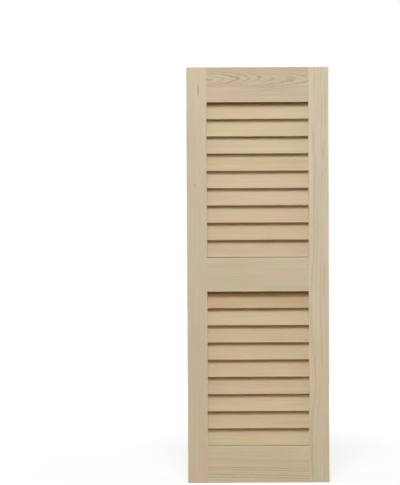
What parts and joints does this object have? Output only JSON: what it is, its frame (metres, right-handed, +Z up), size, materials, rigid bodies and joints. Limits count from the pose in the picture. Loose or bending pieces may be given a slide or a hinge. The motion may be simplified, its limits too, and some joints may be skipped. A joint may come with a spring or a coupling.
{
  "type": "louvred shutter",
  "caption": "Tall unfinished pine window shutter: a flush frame of stiles and rails around an upper and a lower panel of fixed, sloping, round-edged louvres.",
  "frame": {"origin": "middle of the back face, on the back of the middle rail", "axes": "+X across, to the right as seen from the front; +Y from the front face to the back face; +Z up along the stiles"},
  "size_m": [0.381, 0.0286, 1.1176],
  "materials": {
    "stile_pine": "unfinished, planed",
    "rail_pine": "unfinished, planed",
    "louvre_pine": "unfinished, moulded",
    "dowel_beech": "unfinished, fluted"
  },
  "bodies": {
    "root": {"left_stile": "stile_pine", "right_stile": "stile_pine", "top_rail": "rail_pine", "middle_rail": "rail_pine", "bottom_rail": "rail_pine", "upper_louvre_1": "louvre_pine", "upper_louvre_2": "louvre_pine", "upper_louvre_3": "louvre_pine", "upper_louvre_4": "louvre_pine", "upper_louvre_5": "louvre_pine", "upper_louvre_6": "louvre_pine", "upper_louvre_7": "louvre_pine", "upper_louvre_8": "louvre_pine", "upper_louvre_9": "louvre_pine", "lower_louvre_1": "louvre_pine", "lower_louvre_2": "louvre_pine", "lower_louvre_3": "louvre_pine", "lower_louvre_4": "louvre_pine", "lower_louvre_5": "louvre_pine", "lower_louvre_6": "louvre_pine", "lower_louvre_7": "louvre_pine", "lower_louvre_8": "louvre_pine", "lower_louvre_9": "louvre_pine", "rail_dowels": "dowel_beech"}
  },
  "joints": []
}
